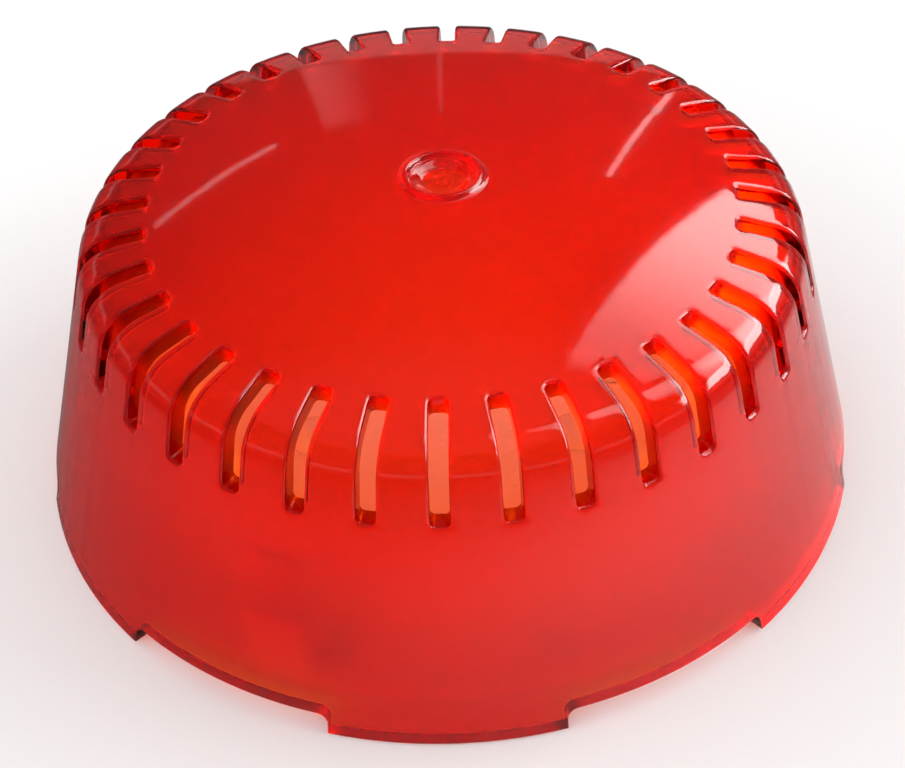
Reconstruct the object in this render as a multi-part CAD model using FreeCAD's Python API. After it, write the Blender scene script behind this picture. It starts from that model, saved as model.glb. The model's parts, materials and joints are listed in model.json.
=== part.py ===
import FreeCAD, Part
import math
import os

from FreeCAD import Vector

# Horn strobe (sounder beacon): a red slotted lens cover over a white sounder head on a wall base.
#
# Millimetres, +Z up and away from the wall, origin at the centre of the wall face.
# The front of the device, where one rim tab of the cover is centred, is -Y.

# ---------------------------------------------------------------- lens cover
COVER_RADIUS = 50.0            # outer radius at the rim
COVER_WALL = 2.2               # moulded wall thickness
COVER_DRAFT = 14.6             # degrees the side wall leans in
SHOULDER_START = 30.7          # height where the straight side wall ends
SHOULDER_RADIUS = 5.4          # outer bend between the side wall and the crown
CROWN_RADIUS = 204.0           # sphere radius of the domed top
SLOT_COUNT = 36
SLOT_WIDTH = 2.0
SLOT_INNER_RADIUS = 33.8       # slots start here on the crown
SLOT_FLOOR = 26.2              # slots end at this height on the side wall
SLOT_CORNER = 0.55
NOTCH_COUNT = 6                # raised stretches of the rim, with a low tab between each pair
NOTCH_ANGLE = 30.0
NOTCH_HEIGHT = 2.3
NOTCH_CORNER = 1.2
BOSS_RADIUS = 4.9              # raised ring in the middle of the crown
BOSS_HEIGHT = 0.55
BOSS_DISH_RADIUS = 3.75
BOSS_DISH_DEPTH = 1.25
BOSS_FLOOR_RADIUS = 2.1
GATE_MARK_RADIUS = 1.155        # low disc left by the moulding gate, in the middle of the dish
GATE_MARK_HEIGHT = 0.14
LUG_ANGLES = (-24.0, 96.0, 216.0)
LUG_WIDTH = 8.4
LUG_LOW = 11.0
LUG_HIGH = 20.0
LUG_DEPTH = 1.1

# ---------------------------------------------------------------- mounting base
BASE_RADIUS = 45.4
BASE_THICKNESS = 1.6
FIXING_SPACING = 60.0
FIXING_SLOT_RADIUS = 2.2
FIXING_SLOT_LENGTH = 9.0
ENTRY_HOLE_RADIUS = 8.0
GROMMET_BORE_RADIUS = 4.5
GASKET_INNER = 40.6
GASKET_OUTER = 43.4
GASKET_DEPTH = 0.8
STIFFENER_RADIUS = 31.8        # low ring that stiffens the plate
STIFFENER_WALL = 1.2
STIFFENER_HEIGHT = 2.2
SILL_RADIUS = 10.4             # low ring that keeps drips out of the cable entry
SILL_WALL = 1.1
SILL_HEIGHT = 1.4

# ---------------------------------------------------------------- sounder head
HEAD_FLANGE_RADIUS = 44.4
HEAD_WALL = 1.4
FLANGE_TOP = BASE_THICKNESS + HEAD_WALL
SLOPE_FOOT_RADIUS = 34.8
SLOPE_FOOT_FILLET = 2.0
SLOPE_CREST_FILLET = 1.8
SLOPE_HEAD_RADIUS = 31.2
ROOF_TOP = 13.6
ROOF_UNDER = ROOF_TOP - HEAD_WALL
CLIP_ANGLES = LUG_ANGLES
CLIP_WIDTH = 7.0
CLIP_TOP = 10.4

# ---------------------------------------------------------------- circuit board
BOARD_RADIUS = 28.5
BOARD_UNDER = 6.0
BOARD_THICKNESS = 1.6
BOARD_TOP = BOARD_UNDER + BOARD_THICKNESS
PILLAR_SPOTS = ((-10.5, -24.2), (-21.6, 15.0), (22.4, -13.8))
PILLAR_RADIUS = 2.5
BOARD_SCREW_RADIUS = 1.1
RUNNING_GAP = 0.05             # radial, round a shaft in its own bore
LOOSE_GAP = 0.3                # radial, round a peg that lifts out
BAY_CLEARANCE = 0.6            # round the terminal block, at the edge of the board
LEAD_HOLE_RADIUS = 0.5
INDUCTOR_SPOT = (0.0, -24.4)
INDUCTOR_LEAD_REACH = 2.5

# ---------------------------------------------------------------- sounder
HORN_CENTRE_Y = -4.0
CHAMBER_RADIUS = 15.5
CHAMBER_WALL = 1.6
HORN_FLOOR = 0.7
SEAL_THICKNESS = 0.6
HORN_TOP = ROOF_UNDER - SEAL_THICKNESS
HORN_THROAT_HALF = 5.4
HORN_MOUTH_HALF = 13.2
HORN_THROAT_Y = 8.0
HORN_MOUTH_Y = 31.0
HORN_TRIM_RADIUS = 28.9
PIEZO_RADIUS = 13.5
PIEZO_THICKNESS = 0.3
CERAMIC_RADIUS = 9.8
CERAMIC_THICKNESS = 0.25
PIEZO_SEAT = 9.4

# ---------------------------------------------------------------- parts soldered to the board
MICROCONTROLLER_SPOT = (-10.4, 13.0)
MICROCONTROLLER_SIZE = (3.9, 6.2, 1.7)
MICROCONTROLLER_PINS = 5       # on each side
DRIVER_SPOT = (11.3, -21.8)
DRIVER_SIZE = (3.9, 5.0, 1.6)
DRIVER_PINS = 4
PIN_PITCH = 1.27
PIN_WIDTH = 0.4
PIN_REACH = 0.9
PIN_THICKNESS = 0.3
INDUCTOR_RADIUS = 2.9
INDUCTOR_WAIST = 2.3
INDUCTOR_FLANGE = 0.7
INDUCTOR_HEIGHT = 3.7
CAPACITOR_SPOTS = ((-5.6, -23.4), (5.6, -23.4))
CAPACITOR_FOOT = 4.3
CAPACITOR_FOOT_HEIGHT = 0.6
CAPACITOR_RADIUS = 2.0
CAPACITOR_HEIGHT = 4.1
DIODE_SPOT = (6.0, 12.0)
DIODE_RADIUS = 1.2
DIODE_LENGTH = 4.2
DIODE_LEAD_RADIUS = 0.3
DIODE_LEAD_REACH = 1.4

# ---------------------------------------------------------------- strobe lamps
LAMP_ORBIT = 22.6
LAMP_ANGLES = (42.0, 138.0, 222.0, 318.0)
LAMP_PACKAGE = 3.4
LAMP_PACKAGE_HEIGHT = 0.9
LAMP_DOME_RADIUS = 1.4
LENS_STEM_RADIUS = 3.1
LENS_FLANGE_RADIUS = 3.7
LENS_TOP = 15.2

# ---------------------------------------------------------------- controls and terminals
SWITCH_CENTRE = (20.6, -2.0)
SWITCH_BODY = (6.2, 12.9)
SWITCH_COUNT = 5
SWITCH_PITCH = 2.3
SWITCH_POCKET = (3.0, 1.5)
SWITCH_POCKET_DEPTH = 1.6
SLIDER_SIZE = (1.4, 1.3)
SLIDER_TRAVEL = 1.4
SLIDER_PROUD = 0.5
SLIDER_GAP = 0.1
VOLUME_CENTRE = (21.0, 9.4)
VOLUME_SIZE = 6.6
VOLUME_ROTOR_RADIUS = 2.3
TERMINAL_X = (-26.4, -17.6)
TERMINAL_COUNT = 4
TERMINAL_PITCH = 5.0
TERMINAL_TOP = 10.8
TERMINAL_SCREW_RADIUS = 1.5
WIRE_WAY_LOW = 2.2
WIRE_WAY_HIGH = 5.0
HEAD_SCREW_SPOTS = ((-8.5, 38.0), (8.5, 38.0))
HEAD_SCREW_RADIUS = 1.3
HEAD_SCREW_CAP = 2.2
HEAD_SCREW_BOSS = 2.9
HEAD_SCREW_BOSS_TOP = BASE_THICKNESS + 0.8
PEG_SPOTS = ((-12.0, -38.6), (12.0, -38.6))
PEG_RADIUS = 1.5

AXIS = Vector(0, 0, 1)


# ================================================================ small helpers
def cylinder(radius, low, high, x=0.0, y=0.0):
    return Part.makeCylinder(radius, high - low, Vector(x, y, low))


def ring(outer, inner, low, high, x=0.0, y=0.0):
    return cylinder(outer, low, high, x, y).cut(cylinder(inner, low - 1, high + 1, x, y))


def block(x0, x1, y0, y1, z0, z1):
    return Part.makeBox(x1 - x0, y1 - y0, z1 - z0, Vector(x0, y0, z0))


def centred_block(x, y, width, depth, z0, z1):
    return block(x - width / 2, x + width / 2, y - depth / 2, y + depth / 2, z0, z1)


def revolve(edges):
    face = Part.Face(Part.Wire(edges))
    return face.revolve(Vector(0, 0, 0), AXIS, 360)


def revolve_points(points):
    corners = [Vector(r, 0, z) for r, z in points]
    return revolve(Part.makePolygon(corners + corners[:1]).Edges)


def turned(shape, degrees):
    """A copy of a shape built at the front (-Y), swung round the axis towards +X."""
    copy = shape.copy()
    copy.rotate(Vector(0, 0, 0), AXIS, degrees)
    return copy


def polar(radius, degrees):
    """The point at an angle measured from the front (-Y) towards +X."""
    angle = math.radians(degrees)
    return radius * math.sin(angle), -radius * math.cos(angle)


def edges_along(shape, direction, test):
    """Straight edges parallel to a direction whose middle passes the test."""
    found = []
    for edge in shape.Edges:
        ends = [v.Point for v in edge.Vertexes]
        if len(ends) != 2 or not isinstance(edge.Curve, Part.Line):
            continue
        along = ends[1].sub(ends[0])
        if along.cross(direction).Length < 1e-6 * along.Length and test(ends[0].add(ends[1]) * 0.5):
            found.append(edge)
    return found


def stadium(half_width, length, low, high, x, y):
    """A slot with round ends, its length along Y."""
    straight = length / 2 - half_width
    body = block(x - half_width, x + half_width, y - straight, y + straight, low, high)
    ends = [cylinder(half_width, low, high, x, y + side * straight) for side in (-1, 1)]
    return body.multiFuse(ends).removeSplitter()


def save(shape, node):
    if not shape.isValid():
        raise ValueError(node + " is not a valid shape")
    shape.exportStep("parts/" + node + ".step")
    box = shape.BoundBox
    print("%-20s solids %2d  volume %9.2f  z %6.2f to %6.2f" % (
        node, len(shape.Solids), shape.Volume, box.ZMin, box.ZMax))


# ================================================================ lens cover
def cover_side_radius(inset, height):
    """Radius of the cover's straight side, drawn in by inset, at a height."""
    draft = math.radians(COVER_DRAFT)
    return COVER_RADIUS - inset / math.cos(draft) - height * math.tan(draft)


def cover_form(inset, bottom):
    """The cover's solid form, its skin drawn in by inset: cone, shoulder bend and domed crown."""
    draft = math.radians(COVER_DRAFT)
    side_normal = Vector(math.cos(draft), 0, math.sin(draft))
    shoulder_point = Vector(cover_side_radius(0, SHOULDER_START), 0, SHOULDER_START)
    bend_centre = shoulder_point - side_normal * SHOULDER_RADIUS
    reach = CROWN_RADIUS - SHOULDER_RADIUS
    crown_centre = Vector(0, 0, bend_centre.z - math.sqrt(reach ** 2 - bend_centre.x ** 2))
    crown_normal = (bend_centre - crown_centre).normalize()
    bend_normal = (side_normal + crown_normal).normalize()
    half_crown = math.asin(crown_normal.x) / 2
    bend = SHOULDER_RADIUS - inset
    crown = CROWN_RADIUS - inset
    foot = Vector(cover_side_radius(inset, bottom), 0, bottom)
    bend_start = bend_centre + side_normal * bend
    bend_middle = bend_centre + bend_normal * bend
    bend_end = bend_centre + crown_normal * bend
    crown_middle = crown_centre + Vector(math.sin(half_crown), 0, math.cos(half_crown)) * crown
    apex = crown_centre + AXIS * crown
    base_centre = Vector(0, 0, bottom)
    edges = [
        Part.LineSegment(base_centre, foot).toShape(),
        Part.LineSegment(foot, bend_start).toShape(),
        Part.Arc(bend_start, bend_middle, bend_end).toShape(),
        Part.Arc(bend_end, crown_middle, apex).toShape(),
        Part.LineSegment(apex, base_centre).toShape(),
    ]
    return revolve(edges), apex.z


def slot_cutter():
    """One slot at the front: open outwards and upwards, with rounded corners at both ends."""
    half = SLOT_WIDTH / 2
    tool = block(-half, half, -COVER_RADIUS - 5, -SLOT_INNER_RADIUS, SLOT_FLOOR, 50)
    upright = edges_along(tool, AXIS, lambda p: p.y > -SLOT_INNER_RADIUS - 1)
    low = edges_along(tool, Vector(0, 1, 0), lambda p: p.z < SLOT_FLOOR + 1)
    return tool.makeFillet(SLOT_CORNER, upright + low)


def notch_cutter():
    """One raised stretch of the rim, centred at the front, with its two upper corners rounded."""
    half = math.radians(NOTCH_ANGLE / 2)
    outer = COVER_RADIUS + 3
    reach = outer / math.cos(half)
    corners = [
        Vector(0, 0, -1),
        Vector(-reach * math.sin(half), -reach * math.cos(half), -1),
        Vector(reach * math.sin(half), -reach * math.cos(half), -1),
    ]
    wedge = Part.Face(Part.makePolygon(corners + corners[:1])).extrude(AXIS * (NOTCH_HEIGHT + 1))
    upper = [e for e in wedge.Edges
             if all(v.Point.z > NOTCH_HEIGHT - 0.1 for v in e.Vertexes)
             and any(math.hypot(v.Point.x, v.Point.y) < 1 for v in e.Vertexes)]
    tool = wedge.makeFillet(NOTCH_CORNER, upper)
    return tool.cut(cylinder(COVER_RADIUS - 8, -5, 10))


def boss(apex):
    """Raised ring on the crown's centre with a dished recess."""
    crest = apex + BOSS_HEIGHT
    ridge = (BOSS_RADIUS + BOSS_DISH_RADIUS) / 2
    ridge_half = (BOSS_RADIUS - BOSS_DISH_RADIUS) / 2
    outer_foot = Vector(BOSS_RADIUS, 0, apex - 0.4)
    outer_side = Vector(BOSS_RADIUS, 0, crest - ridge_half)
    top = Vector(ridge, 0, crest)
    inner_side = Vector(BOSS_DISH_RADIUS, 0, crest - ridge_half)
    inner_foot = Vector(BOSS_DISH_RADIUS, 0, apex - 0.4)
    edges = [
        Part.LineSegment(outer_foot, outer_side).toShape(),
        Part.Arc(outer_side, top, inner_side).toShape(),
        Part.LineSegment(inner_side, inner_foot).toShape(),
        Part.LineSegment(inner_foot, outer_foot).toShape(),
    ]
    bead = revolve(edges)
    floor = crest - BOSS_DISH_DEPTH
    dish = revolve_points([
        (0, floor), (BOSS_FLOOR_RADIUS, floor), (BOSS_DISH_RADIUS, crest - ridge_half),
        (BOSS_DISH_RADIUS, crest + 2), (0, crest + 2)])
    gate_mark = cylinder(GATE_MARK_RADIUS, floor - 0.2, floor + GATE_MARK_HEIGHT)
    return bead, dish, gate_mark


def snap_lug():
    """A shallow pad inside the side wall, at the front, that the head's clips press on."""
    half = LUG_WIDTH / 2
    inner = cover_side_radius(COVER_WALL, LUG_LOW) - LUG_DEPTH
    pad = block(-half, half, -COVER_RADIUS, -inner, LUG_LOW, LUG_HIGH)
    return pad


def lens_cover():
    outer, apex = cover_form(0, 0)
    inner, _ = cover_form(COVER_WALL, -1)
    lugs = [turned(snap_lug(), angle) for angle in LUG_ANGLES]
    solid = outer.cut(inner)
    pads = Part.makeCompound(lugs).common(inner)
    solid = solid.multiFuse(pads.Solids)
    bead, dish, gate_mark = boss(apex)
    solid = solid.fuse(bead).cut(dish).fuse(gate_mark)
    slots = [turned(slot_cutter(), 360 * i / SLOT_COUNT) for i in range(SLOT_COUNT)]
    step = 360 / NOTCH_COUNT
    notches = [turned(notch_cutter(), step * (i + 0.5)) for i in range(NOTCH_COUNT)]
    return solid.cut(slots + notches).removeSplitter()


# ================================================================ mounting base
def mounting_base():
    plate = cylinder(BASE_RADIUS, 0, BASE_THICKNESS)
    top = BASE_THICKNESS
    bosses = [cylinder(HEAD_SCREW_BOSS, top, HEAD_SCREW_BOSS_TOP, x, y) for x, y in HEAD_SCREW_SPOTS]
    pegs = [cylinder(PEG_RADIUS, top, FLANGE_TOP - 0.2, x, y) for x, y in PEG_SPOTS]
    stiffener = ring(STIFFENER_RADIUS, STIFFENER_RADIUS - STIFFENER_WALL, top, top + STIFFENER_HEIGHT)
    sill = ring(SILL_RADIUS, SILL_RADIUS - SILL_WALL, top, top + SILL_HEIGHT)
    shape = plate.multiFuse(bosses + pegs + [stiffener, sill])
    cuts = [
        cylinder(ENTRY_HOLE_RADIUS, -1, 6),
        ring(GASKET_OUTER, GASKET_INNER, -1, GASKET_DEPTH),
    ]
    for side in (-1, 1):
        spot = side * FIXING_SPACING / 2
        cuts.append(stadium(FIXING_SLOT_RADIUS, FIXING_SLOT_LENGTH, -1, 6, 0, spot))
    for x, y in HEAD_SCREW_SPOTS:
        cuts.append(cylinder(HEAD_SCREW_RADIUS + LOOSE_GAP / 2, -1, 6, x, y))
    return shape.cut(cuts).removeSplitter()


def rear_gasket():
    return ring(GASKET_OUTER, GASKET_INNER, 0, GASKET_DEPTH)


def cable_grommet():
    """Rubber bush in the cable entry: a collar inside, a neck in the hole and a tapered bore."""
    neck = ENTRY_HOLE_RADIUS
    collar = ENTRY_HOLE_RADIUS + 1.2
    bore = GROMMET_BORE_RADIUS
    return revolve_points([
        (bore + 1.6, 0), (neck, 0), (neck, BASE_THICKNESS), (collar, BASE_THICKNESS),
        (collar, BASE_THICKNESS + 0.9), (bore + 0.8, BASE_THICKNESS + 1.5), (bore, BASE_THICKNESS + 1.5),
        (bore, BASE_THICKNESS * 0.6)])


def terminal_rows():
    start = -TERMINAL_PITCH * (TERMINAL_COUNT - 1) / 2
    return [start + TERMINAL_PITCH * i for i in range(TERMINAL_COUNT)]


def terminal_centre_x():
    return (TERMINAL_X[0] + TERMINAL_X[1]) / 2


def terminal_block():
    """Field terminal housing: a screw well and a wire mouth for each way."""
    half = TERMINAL_PITCH * TERMINAL_COUNT / 2 + 0.3
    x0, x1 = TERMINAL_X
    body = block(x0, x1, -half, half, BASE_THICKNESS, TERMINAL_TOP)
    shoulder = edges_along(body, Vector(0, 1, 0), lambda p: p.z > TERMINAL_TOP - 1)
    body = body.makeChamfer(0.8, shoulder)
    cuts = []
    well = TERMINAL_SCREW_RADIUS + LOOSE_GAP
    for y in terminal_rows():
        cuts.append(cylinder(well, WIRE_WAY_HIGH, TERMINAL_TOP + 1, terminal_centre_x(), y))
        cuts.append(block(x0 + 1.6, x1 + 1, y - 1.7, y + 1.7, WIRE_WAY_LOW, WIRE_WAY_HIGH))
    return body.cut(cuts)


def terminal_clamps():
    """A rectangular cage clamp in each wire mouth, open towards the wire."""
    cages = []
    x = terminal_centre_x()
    for y in terminal_rows():
        cage = centred_block(x, y, 4.0, 3.2, WIRE_WAY_LOW, WIRE_WAY_HIGH - 0.1)
        way = centred_block(x, y, 6.0, 2.2, WIRE_WAY_LOW + 0.4, WIRE_WAY_HIGH - 0.6)
        thread = cylinder(TERMINAL_SCREW_RADIUS * 0.72, WIRE_WAY_HIGH - 1, WIRE_WAY_HIGH + 1, x, y)
        cages.append(cage.cut([way, thread]))
    return Part.makeCompound(cages)


def slotted_screw(x, y, head_radius, head_low, head_high, shank_radius, shank_low):
    head = cylinder(head_radius, head_low, head_high, x, y)
    rim = [e for e in head.Edges
           if isinstance(e.Curve, Part.Circle) and e.CenterOfMass.z > head_high - 0.01]
    head = head.makeFillet(min(0.25, head_radius * 0.2), rim)
    shank = cylinder(shank_radius, shank_low, head_low, x, y)
    groove = centred_block(x, y, head_radius * 2.2, head_radius * 0.34, head_high - 0.5, head_high + 1)
    return head.fuse(shank).cut(groove).removeSplitter()


def terminal_screws():
    x = terminal_centre_x()
    shank = TERMINAL_SCREW_RADIUS * 0.7
    return Part.makeCompound([
        slotted_screw(x, y, TERMINAL_SCREW_RADIUS, 7.4, 9.4, shank, 4.0) for y in terminal_rows()])


def contact_springs():
    """Leaf springs that rise from the terminal block to the pads under the circuit board."""
    foot = TERMINAL_X[1]
    tip = BOARD_UNDER - 0.08
    outline = [
        (foot, 5.1), (foot + 3.0, tip - 0.22), (foot + 3.9, tip - 0.22),
        (foot + 3.9, tip), (foot + 2.9, tip), (foot, 5.35)]
    leaves = []
    for y in terminal_rows():
        corners = [Vector(x, y - 0.9, z) for x, z in outline]
        leaves.append(Part.Face(Part.makePolygon(corners + corners[:1])).extrude(Vector(0, 1.8, 0)))
    return Part.makeCompound(leaves)


# ================================================================ sounder head
def reflector_section(inset, low):
    """Solid form of the reflector's skin, drawn in by inset, down to a height."""
    foot = SLOPE_FOOT_RADIUS - inset
    head = SLOPE_HEAD_RADIUS - inset
    top = ROOF_TOP - inset
    form = revolve_points([(0, low), (foot, low), (foot, FLANGE_TOP), (head, top), (0, top)])
    crest = [e for e in form.Edges
             if isinstance(e.Curve, Part.Circle) and abs(e.CenterOfMass.z - top) < 0.01]
    return form.makeFillet(SLOPE_CREST_FILLET - inset * 0.5, crest)


def reflector():
    """White moulding: flange on the base, steep slope and a flat roof over the circuit board."""
    flange = cylinder(HEAD_FLANGE_RADIUS, BASE_THICKNESS, FLANGE_TOP)
    shape = flange.fuse(reflector_section(0, BASE_THICKNESS))
    foot = [e for e in shape.Edges
            if isinstance(e.Curve, Part.Circle) and abs(e.CenterOfMass.z - FLANGE_TOP) < 0.01
            and abs(e.Curve.Radius - SLOPE_FOOT_RADIUS) < 0.01]
    shape = shape.makeFillet(SLOPE_FOOT_FILLET, foot)
    shape = shape.cut(reflector_section(HEAD_WALL, BASE_THICKNESS - 1))
    pillars = [cylinder(PILLAR_RADIUS, BOARD_TOP, ROOF_UNDER + 0.2, x, y) for x, y in PILLAR_SPOTS]
    clips = [turned(cover_clip(), angle) for angle in CLIP_ANGLES]
    shape = shape.multiFuse(pillars + clips)
    cuts = [cylinder(BOARD_SCREW_RADIUS + RUNNING_GAP, BOARD_TOP - 1, ROOF_UNDER - 0.6, x, y)
            for x, y in PILLAR_SPOTS]
    for angle in LAMP_ANGLES:
        x, y = polar(LAMP_ORBIT, angle)
        cuts.append(cylinder(LENS_STEM_RADIUS + RUNNING_GAP, ROOF_UNDER - 1, ROOF_TOP + 1, x, y))
    x, y = SWITCH_CENTRE
    cuts.append(centred_block(x, y, SWITCH_BODY[0] + 0.5, SWITCH_BODY[1] + 0.5, ROOF_UNDER - 1, 20))
    x, y = VOLUME_CENTRE
    cuts.append(centred_block(x, y, VOLUME_SIZE + 0.5, VOLUME_SIZE + 0.5, ROOF_UNDER - 1, 20))
    mouth = HORN_MOUTH_HALF - CHAMBER_WALL
    cuts.append(block(-mouth, mouth, 20, 45, BOARD_TOP + HORN_FLOOR, HORN_TOP))
    for x, y in HEAD_SCREW_SPOTS:
        cuts.append(cylinder(HEAD_SCREW_BOSS + LOOSE_GAP, 0, HEAD_SCREW_BOSS_TOP + RUNNING_GAP, x, y))
        cuts.append(cylinder(HEAD_SCREW_RADIUS + LOOSE_GAP, 0, 10, x, y))
    for x, y in PEG_SPOTS:
        cuts.append(cylinder(PEG_RADIUS + LOOSE_GAP, 0, 10, x, y))
    return shape.cut(cuts).removeSplitter()


def cover_clip():
    """One upright spring clip at the front of the flange, with a rounded nose facing the cover."""
    half = CLIP_WIDTH / 2
    back = cover_side_radius(COVER_WALL, CLIP_TOP) - 0.9
    post = block(-half, half, -back, -back + 1.6, FLANGE_TOP - 0.4, CLIP_TOP)
    root = block(-half, half, -back, -SLOPE_FOOT_RADIUS, FLANGE_TOP - 0.4, FLANGE_TOP + 0.8)
    top = edges_along(post, Vector(1, 0, 0), lambda p: p.z > CLIP_TOP - 0.5)
    return post.makeFillet(0.6, top).fuse(root)


def circuit_board():
    """Round board with a bay for the terminal block, screw holes and sunk lead holes."""
    board = cylinder(BOARD_RADIUS, BOARD_UNDER, BOARD_TOP)
    half = TERMINAL_PITCH * TERMINAL_COUNT / 2 + 0.3 + BAY_CLEARANCE
    cuts = [block(-BOARD_RADIUS - 1, TERMINAL_X[1] + BAY_CLEARANCE, -half, half, 0, 20)]
    for x, y in PILLAR_SPOTS:
        cuts.append(cylinder(BOARD_SCREW_RADIUS + RUNNING_GAP, 0, 20, x, y))
    x, y = INDUCTOR_SPOT
    for side in (-1, 1):
        cuts.append(cylinder(LEAD_HOLE_RADIUS, 0, 20, x + side * INDUCTOR_LEAD_REACH, y + 2.1))
    return board.cut(cuts)


def board_screws():
    """Pan-head screws that hold the board up against the reflector's pillars."""
    screws = []
    for x, y in PILLAR_SPOTS:
        screw = slotted_screw(x, y, 2.2, 0, 1.6, BOARD_SCREW_RADIUS, -5.2)
        screw.rotate(Vector(x, y, 0), Vector(1, 0, 0), 180)
        screw.translate(Vector(0, 0, BOARD_UNDER))
        screws.append(screw)
    return Part.makeCompound(screws)


def head_screws():
    """Captive screws that hold the head down on the base, behind the reflector."""
    return Part.makeCompound([
        slotted_screw(x, y, HEAD_SCREW_CAP, FLANGE_TOP, FLANGE_TOP + 1.6, HEAD_SCREW_RADIUS, 0.3)
        for x, y in HEAD_SCREW_SPOTS])


def horn_plan(spread):
    """Plan face of the sounder chamber and its flared horn, grown outwards by spread."""
    throat = HORN_THROAT_HALF - CHAMBER_WALL + spread
    mouth = HORN_MOUTH_HALF - CHAMBER_WALL + spread
    middle = throat + (mouth - throat) * 0.26
    middle_y = (HORN_THROAT_Y + HORN_MOUTH_Y) / 2
    start_y = HORN_CENTRE_Y + 4
    flare = [Vector(throat, HORN_THROAT_Y, 0), Vector(middle, middle_y, 0), Vector(mouth, HORN_MOUTH_Y, 0)]
    right = Part.Arc(*flare)
    left = Part.Arc(*[Vector(-point.x, point.y, 0) for point in reversed(flare)])
    edges = [
        Part.LineSegment(Vector(throat, start_y, 0), Vector(throat, HORN_THROAT_Y, 0)).toShape(),
        right.toShape(),
        Part.LineSegment(Vector(mouth, HORN_MOUTH_Y, 0), Vector(-mouth, HORN_MOUTH_Y, 0)).toShape(),
        left.toShape(),
        Part.LineSegment(Vector(-throat, HORN_THROAT_Y, 0), Vector(-throat, start_y, 0)).toShape(),
        Part.LineSegment(Vector(-throat, start_y, 0), Vector(throat, start_y, 0)).toShape(),
    ]
    return Part.Face(Part.Wire(edges))


def horn_prism(spread, low, high):
    flare = horn_plan(spread)
    flare.translate(Vector(0, 0, low))
    flare = flare.extrude(AXIS * (high - low))
    chamber = cylinder(CHAMBER_RADIUS - CHAMBER_WALL + spread, low, high, 0, HORN_CENTRE_Y)
    return flare.fuse(chamber).removeSplitter()


def sounder_horn():
    """Shallow resonance chamber that opens into a flared horn facing the rear."""
    shell = horn_prism(CHAMBER_WALL, BOARD_TOP, HORN_TOP)
    hollow = horn_prism(0, BOARD_TOP + HORN_FLOOR, HORN_TOP + 1)
    shape = shell.cut(hollow).common(cylinder(HORN_TRIM_RADIUS, 0, 20))
    step = ring(PIEZO_RADIUS + 0.4, PIEZO_RADIUS - 1.2, BOARD_TOP, PIEZO_SEAT, 0, HORN_CENTRE_Y)
    return shape.fuse(step).removeSplitter()


def chamber_seal():
    """Foam gasket that closes the chamber against the underside of the roof."""
    shell = horn_prism(CHAMBER_WALL, HORN_TOP, ROOF_UNDER)
    hollow = horn_prism(0, HORN_TOP - 1, ROOF_UNDER + 1)
    return shell.cut(hollow).common(cylinder(HORN_TRIM_RADIUS, 0, 20))


def piezo_disc():
    top = PIEZO_SEAT + PIEZO_THICKNESS
    return cylinder(PIEZO_RADIUS, PIEZO_SEAT, top, 0, HORN_CENTRE_Y)


def piezo_ceramic():
    low = PIEZO_SEAT + PIEZO_THICKNESS
    return cylinder(CERAMIC_RADIUS, low, low + CERAMIC_THICKNESS, 0, HORN_CENTRE_Y)


def strobe_lamp(x, y):
    """Surface-mounted lamp: square package with a sunk rim and a small emitter dome."""
    top = BOARD_TOP + LAMP_PACKAGE_HEIGHT
    package = centred_block(x, y, LAMP_PACKAGE, LAMP_PACKAGE, BOARD_TOP, top)
    package = package.makeFillet(0.25, edges_along(package, AXIS, lambda p: True))
    dome = Part.makeSphere(LAMP_DOME_RADIUS, Vector(x, y, top - 0.35))
    return package.fuse(dome).common(block(-50, 50, -50, 50, BOARD_TOP, 20)).removeSplitter()


def strobe_lens(x, y):
    """Clear light pipe: flange under the roof, stem through it and a low domed top."""
    stem = cylinder(LENS_STEM_RADIUS, BOARD_TOP + 2.6, ROOF_TOP + 0.2, x, y)
    flange = cylinder(LENS_FLANGE_RADIUS, ROOF_UNDER - 1.0, ROOF_UNDER, x, y)
    rise = LENS_TOP - ROOF_TOP - 0.2
    dome_radius = (LENS_STEM_RADIUS ** 2 + rise ** 2) / (2 * rise)
    dome = Part.makeSphere(dome_radius, Vector(x, y, LENS_TOP - dome_radius))
    dome = dome.common(cylinder(LENS_STEM_RADIUS, ROOF_TOP + 0.2, LENS_TOP + 1, x, y))
    return stem.multiFuse([flange, dome]).removeSplitter()


def switch_rows():
    start = SWITCH_CENTRE[1] - SWITCH_PITCH * (SWITCH_COUNT - 1) / 2
    return [start + SWITCH_PITCH * i for i in range(SWITCH_COUNT)]


def switch_body():
    """Housing of the tone code switch, one pocket for each slider."""
    x, y = SWITCH_CENTRE
    body = centred_block(x, y, SWITCH_BODY[0], SWITCH_BODY[1], BOARD_TOP, ROOF_TOP)
    body = body.makeChamfer(0.3, edges_along(body, Vector(0, 1, 0), lambda p: p.z > ROOF_TOP - 0.1))
    length, width = SWITCH_POCKET
    floor = ROOF_TOP - SWITCH_POCKET_DEPTH
    pockets = [centred_block(x, row, length, width, floor, ROOF_TOP + 1) for row in switch_rows()]
    return body.cut(pockets)


def switch_slider(row):
    """One slider at the outer end of its pocket, which is its off position."""
    x = SWITCH_CENTRE[0] + SWITCH_POCKET[0] / 2 - SLIDER_SIZE[0] / 2 - SLIDER_GAP
    low = ROOF_TOP - SWITCH_POCKET_DEPTH + SLIDER_GAP
    tip = centred_block(x, row, SLIDER_SIZE[0], SLIDER_SIZE[1], low, ROOF_TOP + SLIDER_PROUD)
    return tip.makeChamfer(0.2, edges_along(tip, Vector(0, 1, 0), lambda p: p.z > ROOF_TOP))


def volume_body():
    """Square housing of the volume control with a round well for its rotor."""
    x, y = VOLUME_CENTRE
    body = centred_block(x, y, VOLUME_SIZE, VOLUME_SIZE, BOARD_TOP, ROOF_TOP - 0.4)
    body = body.makeFillet(0.5, edges_along(body, AXIS, lambda p: True))
    return body.cut(cylinder(VOLUME_ROTOR_RADIUS + RUNNING_GAP, BOARD_TOP + 2.5, ROOF_TOP + 1, x, y))


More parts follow.
